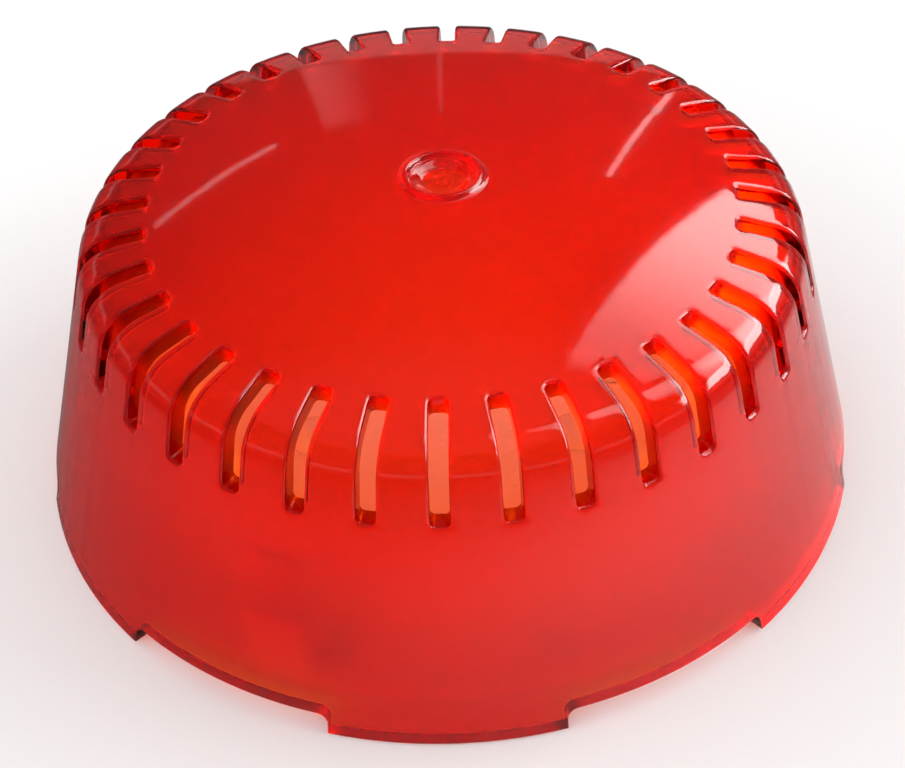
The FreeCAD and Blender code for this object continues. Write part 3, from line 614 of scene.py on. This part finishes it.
def metal(slot, bright, dull, roughness, patch=1.2, drawn=(1, 1, 1), line=0.1):
    """Bare or plated metal: dulled patches and the fine lines left by rolling, drawing or barrelling."""
    surface = Surface(slot)
    clouds = surface.noise(size=patch, detail=3.0)
    lines = surface.noise(size=line, stretch=drawn, detail=3.0)
    color = surface.mix(surface.ramp(clouds, (0.35, 0.0), (0.7, 1.0)), bright, dull)
    level = surface.add(surface.times(clouds, 0.16), surface.times(lines, 0.1), roughness - 0.12)
    surface.emboss(lines, depth=0.003)
    return surface.finish(color, level, metallic=1.0)


def foam(slot):
    """Closed-cell foam: dark, dull, pitted with small round cells, with painted shade in the cells' hollows.
    """
    surface = Surface(slot)
    pits = surface.ramp(surface.cells(size=0.45), (0.15, 0.0), (0.6, 1.0))
    clouds = surface.noise(size=3.0)
    # Painted shade: the colour is darkest in each cell's hollow, where the relief dips, and also varies at
    # random with the clouds.
    color = surface.mix(surface.times(pits, clouds), (0.045, 0.045, 0.048), (0.13, 0.13, 0.135))
    surface.emboss(pits, depth=0.09)
    surface.emboss(clouds, depth=0.08)
    return surface.finish(color, surface.ramp(clouds, (0.3, 0.86), (0.7, 0.96)))


def rubber(slot):
    """Soft dark rubber with a pale dusty bloom and a fine mould texture."""
    surface = Surface(slot)
    bloom = surface.ramp(surface.noise(size=1.8, detail=4.0), (0.45, 0.0), (0.75, 1.0))
    color = surface.mix(bloom, (0.16, 0.16, 0.168), (0.26, 0.26, 0.265))
    surface.emboss(surface.noise(size=0.18, detail=3.0), depth=0.01)
    return surface.finish(color, surface.ramp(bloom, (0.0, 0.55), (1.0, 0.8)))


def board(slot):
    """White solder mask over tracks and a glass weave, with the tan laminate on the cut edges."""
    surface = Surface(slot)
    x, y, _ = surface.split(surface.place)
    weave = surface.times(surface.waves(x, pitch=0.55), surface.waves(y, pitch=0.55))
    tracks = surface.ramp(surface.cells(size=3.6, feature="DISTANCE_TO_EDGE"), (0.045, 1.0), (0.07, 0.0))
    clouds = surface.noise(size=5.0)
    mask = surface.mix(clouds, (0.80, 0.82, 0.80), (0.73, 0.76, 0.74))
    mask = surface.mix(surface.times(tracks, 0.55), mask, (0.60, 0.66, 0.62))
    layers = surface.noise(size=0.5, stretch=(6, 6, 0.4))
    laminate = surface.mix(layers, (0.62, 0.53, 0.33), (0.45, 0.37, 0.22))
    facing = surface.split(surface.coordinates.outputs["Normal"])[2]
    edge = surface.ramp(surface.math("ABSOLUTE", facing), (0.4, 1.0), (0.6, 0.0))
    surface.emboss(weave, depth=0.006)
    surface.emboss(tracks, depth=0.03)
    level = surface.add(surface.ramp(clouds, (0.3, 0.34), (0.7, 0.44)), surface.times(edge, 0.35))
    return surface.finish(surface.mix(edge, mask, laminate), level)


def lamp_package(slot):
    """White lamp package round a soft yellow phosphor window."""
    surface = Surface(slot)
    window = surface.ramp(surface.from_axis(), (0.34, 1.0), (0.37, 0.0))
    grains = surface.noise(size=0.12, detail=3.0)
    phosphor = surface.mix(grains, (0.88, 0.72, 0.2), (0.8, 0.6, 0.12))
    package = surface.mix(grains, (0.84, 0.83, 0.79), (0.76, 0.75, 0.71))
    surface.emboss(grains, depth=0.004)
    surface.emboss(window, depth=0.06)
    color = surface.mix(window, package, phosphor)
    return surface.finish(color, surface.ramp(grains, (0.3, 0.4), (0.7, 0.55)))


ACRYLIC_INDEX = 1.49
MILKY_TRANSMISSION = 0.2


def clear_lens(slot):
    """Acrylic with a milky diffusing finish, slight flow waves and dust."""
    surface = Surface(slot)
    flow = surface.noise(size=2.2)
    dust = surface.ramp(surface.noise(size=0.35, detail=4.0), (0.62, 0.0), (0.8, 1.0))
    surface.shader.inputs["Transmission Weight"].default_value = MILKY_TRANSMISSION
    surface.shader.inputs["IOR"].default_value = ACRYLIC_INDEX
    surface.emboss(flow, depth=0.012)
    surface.emboss(dust, depth=0.002)
    color = surface.mix(flow, (0.96, 0.975, 0.98), (0.99, 0.99, 0.985))
    return surface.finish(color, surface.add(surface.times(dust, 0.2), 0.04))


CHIP_PIN_START = 0.342
CHIP_BODY = ((0.035, 0.035, 0.037), (0.06, 0.06, 0.062))
TIN = ((0.74, 0.74, 0.72), (0.6, 0.6, 0.59))


def chip(slot):
    """Black epoxy body with a moulded grain, between two rows of tinned legs."""
    surface = Surface(slot)
    x, _, _ = surface.shares()
    from_middle = surface.math("ABSOLUTE", surface.math("SUBTRACT", x, 0.5))
    legs = surface.math("GREATER_THAN", from_middle, CHIP_PIN_START)
    grain = surface.noise(size=0.14, detail=3.0)
    clouds = surface.noise(size=1.4)
    color = surface.mix(legs, surface.mix(clouds, *CHIP_BODY), surface.mix(clouds, *TIN))
    level = surface.add(surface.times(grain, 0.2), surface.times(legs, -0.22), 0.5)
    surface.emboss(grain, depth=0.008)
    return surface.finish(color, level, metallic=legs)


WINDING_HEIGHT = (0.2, 0.8)
WINDING_REACH = 0.42
WIRE_PITCH = 0.24


def ferrite(slot):
    """Dark ferrite drum with a varnished copper winding round its waist, each turn painted lighter on its
    crest and darker in the groove beside it as painted highlight and shade.
    """
    surface = Surface(slot)
    _, _, height = surface.shares()
    _, _, z = surface.split(surface.place)
    waist = surface.times(surface.band(height, *WINDING_HEIGHT, 0.01, 0.01),
                          surface.math("LESS_THAN", surface.from_axis(), WINDING_REACH))
    turns = surface.waves(z, pitch=WIRE_PITCH)
    grain = surface.noise(size=0.2, detail=4.0)
    core = surface.mix(grain, (0.09, 0.085, 0.085), (0.17, 0.16, 0.155))
    # Painted highlight and shade: the copper is light on each turn's crest and dark between turns.
    wire = surface.mix(turns, (0.22, 0.07, 0.02), (0.6, 0.26, 0.09))
    surface.emboss(grain, depth=0.02)
    surface.emboss(surface.times(waist, turns), depth=0.1)
    level = surface.add(surface.times(grain, 0.25), surface.times(waist, -0.3), 0.5)
    color = surface.mix(waist, core, wire)
    return surface.finish(color, level, metallic=surface.times(waist, 0.6))


FOOT_SHARE = 0.128
CAN_TOP_SHARE = 0.985
POLARITY_SHARE = 0.24


def capacitor(slot):
    """Drawn aluminium can on a black foot, with a dark mark on its negative side."""
    surface = Surface(slot)
    x, _, height = surface.shares()
    foot = surface.math("LESS_THAN", height, FOOT_SHARE)
    top = surface.math("GREATER_THAN", height, CAN_TOP_SHARE)
    mark = surface.times(top, surface.math("LESS_THAN", x, POLARITY_SHARE))
    dark = surface.math("MAXIMUM", foot, mark)
    lines = surface.noise(size=0.12, stretch=(1, 1, 14), detail=3.0)
    can = surface.mix(lines, (0.8, 0.81, 0.82), (0.66, 0.67, 0.68))
    base = surface.mix(lines, (0.03, 0.03, 0.032), (0.06, 0.06, 0.06))
    surface.emboss(lines, depth=0.004)
    level = surface.add(surface.times(lines, 0.14), surface.times(dark, 0.2), 0.22)
    color = surface.mix(dark, can, base)
    return surface.finish(color, level, metallic=surface.math("SUBTRACT", 1.0, dark))


DIODE_BODY = (0.2, 0.8)
DIODE_BAND = (0.66, 0.73)


def diode(slot):
    """Small tinted glass body with a dark band at its cathode end and tinned leads."""
    surface = Surface(slot)
    x, _, _ = surface.shares()
    body = surface.band(x, *DIODE_BODY, 0.005, 0.005)
    ring = surface.band(x, *DIODE_BAND, 0.004, 0.004)
    clouds = surface.noise(size=0.6, detail=3.0)
    glass = surface.mix(clouds, (0.62, 0.25, 0.12), (0.75, 0.38, 0.22))
    glass = surface.mix(ring, glass, (0.03, 0.03, 0.035))
    surface.emboss(clouds, depth=0.01)
    color = surface.mix(body, surface.mix(clouds, *TIN), glass)
    level = surface.add(surface.times(clouds, 0.12), surface.times(body, -0.16), 0.26)
    return surface.finish(color, level, metallic=surface.math("SUBTRACT", 1.0, body))


def finishes():
    """Every material slot of the record with its material.

    The frame's plain materials hold the bare names, so Blender adds a number to the names of these.
    """
    made = [
        red_lens(),
        moulded("white_base", (0.74, 0.74, 0.72), (0.69, 0.685, 0.66), 0.42),
        moulded("white_reflector", (0.83, 0.82, 0.80), (0.80, 0.79, 0.765), 0.3,
                grain=0.5, depth=0.003),
        moulded("terminal_housing", (0.66, 0.67, 0.66), (0.58, 0.59, 0.58), 0.5, mottle=2.5),
        moulded("horn_plastic", (0.60, 0.61, 0.62), (0.52, 0.53, 0.545), 0.46, mottle=4.0),
        moulded("switch_housing", (0.70, 0.70, 0.69), (0.62, 0.62, 0.61), 0.44, mottle=2.0, grain=0.2),
        moulded("slider", (0.80, 0.78, 0.70), (0.72, 0.70, 0.61), 0.36,
                mottle=0.9, grain=0.12, depth=0.004),
        moulded("volume_housing", (0.60, 0.64, 0.67), (0.52, 0.56, 0.60), 0.44, mottle=2.0, grain=0.2),
        moulded("volume_rotor", (0.76, 0.73, 0.62), (0.67, 0.64, 0.53), 0.38,
                mottle=1.2, grain=0.15, depth=0.004),
        metal("plated_clamp", (0.74, 0.73, 0.70), (0.56, 0.56, 0.55), 0.34),
        metal("plated_screw", (0.76, 0.76, 0.74), (0.58, 0.58, 0.57), 0.28, patch=0.8),
        metal("bronze_contact", (0.80, 0.58, 0.37), (0.62, 0.42, 0.25), 0.3, drawn=(12, 1, 1)),
        metal("piezo_brass", (0.83, 0.64, 0.32), (0.68, 0.50, 0.24), 0.32,
              patch=3.0, drawn=(20, 1, 1)),
        metal("piezo_ceramic", (0.84, 0.82, 0.77), (0.68, 0.66, 0.61), 0.48,
              patch=2.0, drawn=(1, 6, 1), line=0.2),
        foam("gasket_foam"),
        rubber("grommet_rubber"),
        board("board"),
        lamp_package("lamp_package"),
        clear_lens("clear_lens"),
        chip("chip_moulding"),
        ferrite("ferrite"),
        capacitor("capacitor_can"),
        diode("diode_glass"),
    ]
    return {material.name.partition(".")[0]: material for material in made}


# ================================================================ stage
CAMERA_AZIMUTH = math.radians(2.31)
CAMERA_DISTANCE = 0.22168
CAMERA_ELEVATION = math.radians(43.874)
CAMERA_HEADING = math.radians(1.068)
CAMERA_PITCH = math.radians(40.983)
CAMERA_ROLL = -0.005386
CAMERA_LENS = 68.655
CAMERA_SENSOR = 36.0
CAMERA_SHIFT = (-0.08102, -0.06096)
CAMERA_NEAREST = 0.005


def add_camera():
    data = bpy.data.cameras.new("camera")
    data.lens = CAMERA_LENS
    data.shift_x, data.shift_y = CAMERA_SHIFT
    data.sensor_width = CAMERA_SENSOR
    data.clip_start = CAMERA_NEAREST
    camera = bpy.data.objects.new("camera", data)
    flat = CAMERA_DISTANCE * math.cos(CAMERA_ELEVATION)
    camera.location = (
        flat * math.sin(CAMERA_AZIMUTH),
        -flat * math.cos(CAMERA_AZIMUTH),
        CAMERA_DISTANCE * math.sin(CAMERA_ELEVATION),
    )
    forward = Vector((
        math.sin(CAMERA_HEADING) * math.cos(CAMERA_PITCH),
        math.cos(CAMERA_HEADING) * math.cos(CAMERA_PITCH),
        -math.sin(CAMERA_PITCH),
    ))
    level = forward.cross(Vector((0, 0, 1))).normalized()
    upright = level.cross(forward)
    right = level * math.cos(CAMERA_ROLL) + upright * math.sin(CAMERA_ROLL)
    up = right.cross(forward)
    turn = Matrix((right, up, -forward)).transposed().to_4x4()
    camera.matrix_world = Matrix.Translation(camera.location) @ turn
    bpy.context.collection.objects.link(camera)
    bpy.context.scene.camera = camera


def clear_path(owner, reflected_only):
    """One on rays that have met only glass and gloss since the camera, nought on all others.

    The owner is the Surface or the Sky that the nodes are made in.
    """
    paths = owner.node("LightPath").outputs
    glossy, through = paths["Is Glossy Ray"], paths["Is Transmission Ray"]
    if reflected_only:
        kind = owner.times(glossy, owner.math("SUBTRACT", 1.0, through))
    else:
        kind = owner.math("MAXIMUM", glossy, through)
    return owner.times(kind, owner.math("LESS_THAN", paths["Diffuse Depth"], 0.5))


FLOOR_HALF = 3.0
FLOOR_DROP = 0.0002
FLOOR_TONE = 0.93
# Painted shade on the floor where the object's gloss shows it: its tone from left to right in millimetres,
# then its fading with distance.
MIRRORED_FLOOR_SHADE = ((-60.0, 0.19), (100.0, 0.85))
MIRRORED_SHADE_FADE = ((75.0, 1.0), (165.0, 0.1))


def floor_paper():
    """Plain pale paper, evenly bright where the camera sees it. In the gloss of the object it carries painted
    shade and shows as the darker table of a dim room, darker to the left and further away.
    """
    surface = Surface("floor")
    x, _, _ = surface.split(surface.place)
    reach = surface.node("VectorMath", operation="LENGTH")
    surface.wire(surface.place, reach.inputs[0])
    fade = surface.ramp(reach.outputs["Value"], *MIRRORED_SHADE_FADE)
    # Painted shade: the floor as reflected is darker to the left and further away.
    mirrored = surface.times(surface.ramp(x, *MIRRORED_FLOOR_SHADE), fade)
    fibres = surface.noise(size=0.4, stretch=(3, 1, 1), detail=3.0)
    seen = clear_path(surface, reflected_only=True)
    tone = surface.add(FLOOR_TONE, surface.times(seen, surface.math("SUBTRACT", mirrored, FLOOR_TONE)))
    color = surface.mix(tone, (0.0, 0.0, 0.0), (1.0, 1.0, 1.0))
    surface.emboss(fibres, depth=0.004)
    return surface.finish(color, surface.ramp(fibres, (0.3, 0.88), (0.7, 0.96)))


def add_floor():
    corners = [(x * FLOOR_HALF, y * FLOOR_HALF, 0) for x, y in ((-1, -1), (1, -1), (1, 1), (-1, 1))]
    data = bpy.data.meshes.new("floor")
    data.from_pydata(corners, [], [(0, 1, 2, 3)])
    floor = bpy.data.objects.new("floor", data)
    floor.location.z = -FLOOR_DROP
    data.materials.append(floor_paper())
    bpy.context.collection.objects.link(floor)


# ---------------------------------------------------------------- the surroundings
# Directions are in degrees. A span is (low, high, soft margin below, soft margin above). A patch of light is
# its span across, its span upwards and its strength, which for the window is its glow. A leaning line is the
# azimuth and elevation of one point on it, and its drift. Pairs of (value, result) are the ends of a ramp.
DARK_ROOM = 0.1
ZENITH = ((52.0, 0.0), (62.0, 0.15))
HORIZON = (9.5, 14.8, 2.5, 0.8)
HORIZON_STRENGTH = 0.4
WINDOW_EDGE = (15.0, 56.0, -0.26)
WINDOW = ((0.0, 55.0, 0.6, 14.0), (31.5, 55.5, 1.0, 3.0))
WINDOW_GLOW = ((36.0, 7.0), (56.0, 1.7))
WINDOW_GAIN_THROUGH_GLASS = 6.0
GLARE = ((54.0, 100.0, 6.0, 10.0), (17.0, 29.0, 2.0, 3.0), 12.0)
RIGHT_WALL = ((60.0, 88.0, 10.0, 14.0), (28.0, 70.0, 4.0, 14.0), 3.0)
FRONT_LINE = (11.9, 33.8, -0.1)
FRONT_STRIP = ((-0.12, 0.12, 0.2, 0.2), (20.0, 33.8, 3.0, 0.4), 3.6)
THIN_STRIP = ((-2.25, -2.1, 0.12, 0.15), (16.0, 25.0, 1.0, 2.0), 0.35)
FAINT_STRIP = ((-10.8, -10.4, 0.4, 4.0), (16.0, 25.0, 1.0, 3.0), 0.4)
LEFT_STRIP_AZIMUTH = -18.0
LEFT_STRIP_FALL = 0.45
LEFT_STRIP_HEIGHT = (29.0, 29.2, 0.35, 0.35)
LEFT_STRIP_ACROSS = (-25.0, -15.1, 3.0, 0.5)
LEFT_STRIP_STRENGTH = 1.9
DOME = ((20.0, 4.45), (50.0, 0.75))
LEFT_LIGHT = ((-0.9, 1.4), (0.1, 1.0))
SOFT_SHARE = 0.57
SOFT_SHARE_MORE_THROUGH_GLASS = 0.52


class Sky(Nodes):
    """The studio's surroundings as a brightness for each direction seen from the object, in degrees."""

    def __init__(self, world):
        super().__init__(world.node_tree)
        self.tree.nodes.clear()
        normal = self.node("VectorMath", operation="NORMALIZE")
        self.wire(self.node("TexCoord").outputs["Generated"], normal.inputs[0])
        self.rightward, y, z = self.split(normal.outputs["Vector"])
        per_radian = math.degrees(1.0)
        self.elevation = self.times(self.math("ARCSINE", z), per_radian)
        self.azimuth = self.times(self.math("ARCTAN2", self.rightward, y), per_radian)

    def from_line(self, azimuth, elevation, drift):
        """The azimuth measured from a leaning line, which drifts so much per degree of height."""
        lean = self.times(self.math("SUBTRACT", self.elevation, elevation), drift)
        return self.math("SUBTRACT", self.math("SUBTRACT", self.azimuth, azimuth), lean)

    def patch(self, azimuth, across, upward, strength):
        return self.times(self.band(azimuth, *across), self.band(self.elevation, *upward), strength)

    def through_glass(self):
        return self.node("LightPath").outputs["Is Transmission Ray"]


def window(sky):
    """The tall window on the right. Its left edge leans, its foot glows, and glass shows it brighter."""
    glow = sky.ramp(sky.elevation, *WINDOW_GLOW)
    gain = sky.add(1.0, sky.times(sky.through_glass(), WINDOW_GAIN_THROUGH_GLASS))
    return sky.times(sky.patch(sky.from_line(*WINDOW_EDGE), *WINDOW, glow), gain)


def bright_lines(sky):
    """Thin bright edges that draw lines in the gloss: one leaning, one falling to the right, two upright."""
    offset = sky.math("SUBTRACT", sky.azimuth, LEFT_STRIP_AZIMUTH)
    fallen = sky.add(sky.elevation, sky.times(offset, LEFT_STRIP_FALL))
    left = sky.times(
        sky.band(fallen, *LEFT_STRIP_HEIGHT),
        sky.band(sky.azimuth, *LEFT_STRIP_ACROSS),
        LEFT_STRIP_STRENGTH,
    )
    front = sky.patch(sky.from_line(*FRONT_LINE), *FRONT_STRIP)
    return sky.add(front, left, sky.patch(sky.azimuth, *THIN_STRIP), sky.patch(sky.azimuth, *FAINT_STRIP))


def mirrored_room(sky, glare):
    """What the gloss shows: a dim room with a window, a bright right wall and a few thin bright lines."""
    zenith = sky.ramp(sky.elevation, *ZENITH)
    horizon = sky.times(sky.band(sky.elevation, *HORIZON), HORIZON_STRENGTH)
    right_wall = sky.patch(sky.azimuth, *RIGHT_WALL)
    return sky.add(DARK_ROOM, zenith, horizon, window(sky), bright_lines(sky), glare, right_wall)


def add_world():
    """Soft light for everything matt, and the mirrored room for what is seen in gloss or through glass."""
    world = bpy.data.worlds.new("studio")
    bpy.context.scene.world = world
    world.use_nodes = True
    sky = Sky(world)
    glare = sky.patch(sky.azimuth, *GLARE)
    left_light = sky.ramp(sky.rightward, *LEFT_LIGHT)
    dome = sky.add(sky.times(sky.ramp(sky.elevation, *DOME), left_light), glare)
    share = sky.add(SOFT_SHARE, sky.times(sky.through_glass(), SOFT_SHARE_MORE_THROUGH_GLASS))
    soft = sky.times(dome, share)
    change = sky.math("SUBTRACT", mirrored_room(sky, glare), soft)
    total = sky.add(soft, sky.times(clear_path(sky, reflected_only=False), change))
    background = sky.node("Background")
    sky.wire(total, background.inputs["Strength"])
    sky.wire(background.outputs["Background"], sky.node("OutputWorld").inputs["Surface"])


MOST_BOUNCES = {
    "max_bounces": 32,
    "glossy_bounces": 24,
    "transmission_bounces": 24,
    "diffuse_bounces": 6,
}


def set_light_paths():
    for name, count in MOST_BOUNCES.items():
        setattr(bpy.context.scene.cycles, name, count)


def dress_pieces(cover, materials):
    """Gives the cover and every CAD node the material of its slot."""
    cover.data.materials.append(materials["red_lens"])
    for row in frame["record"]["subparts"]:
        node_mesh = nodes[row["node"]].data
        node_mesh.materials.clear()
        node_mesh.materials.append(materials[row["material_slot"]])


dress_pieces(build_cover(), finishes())
add_floor()
add_world()
set_light_paths()
add_camera()
bpy.context.scene.view_settings.view_transform = "Standard"
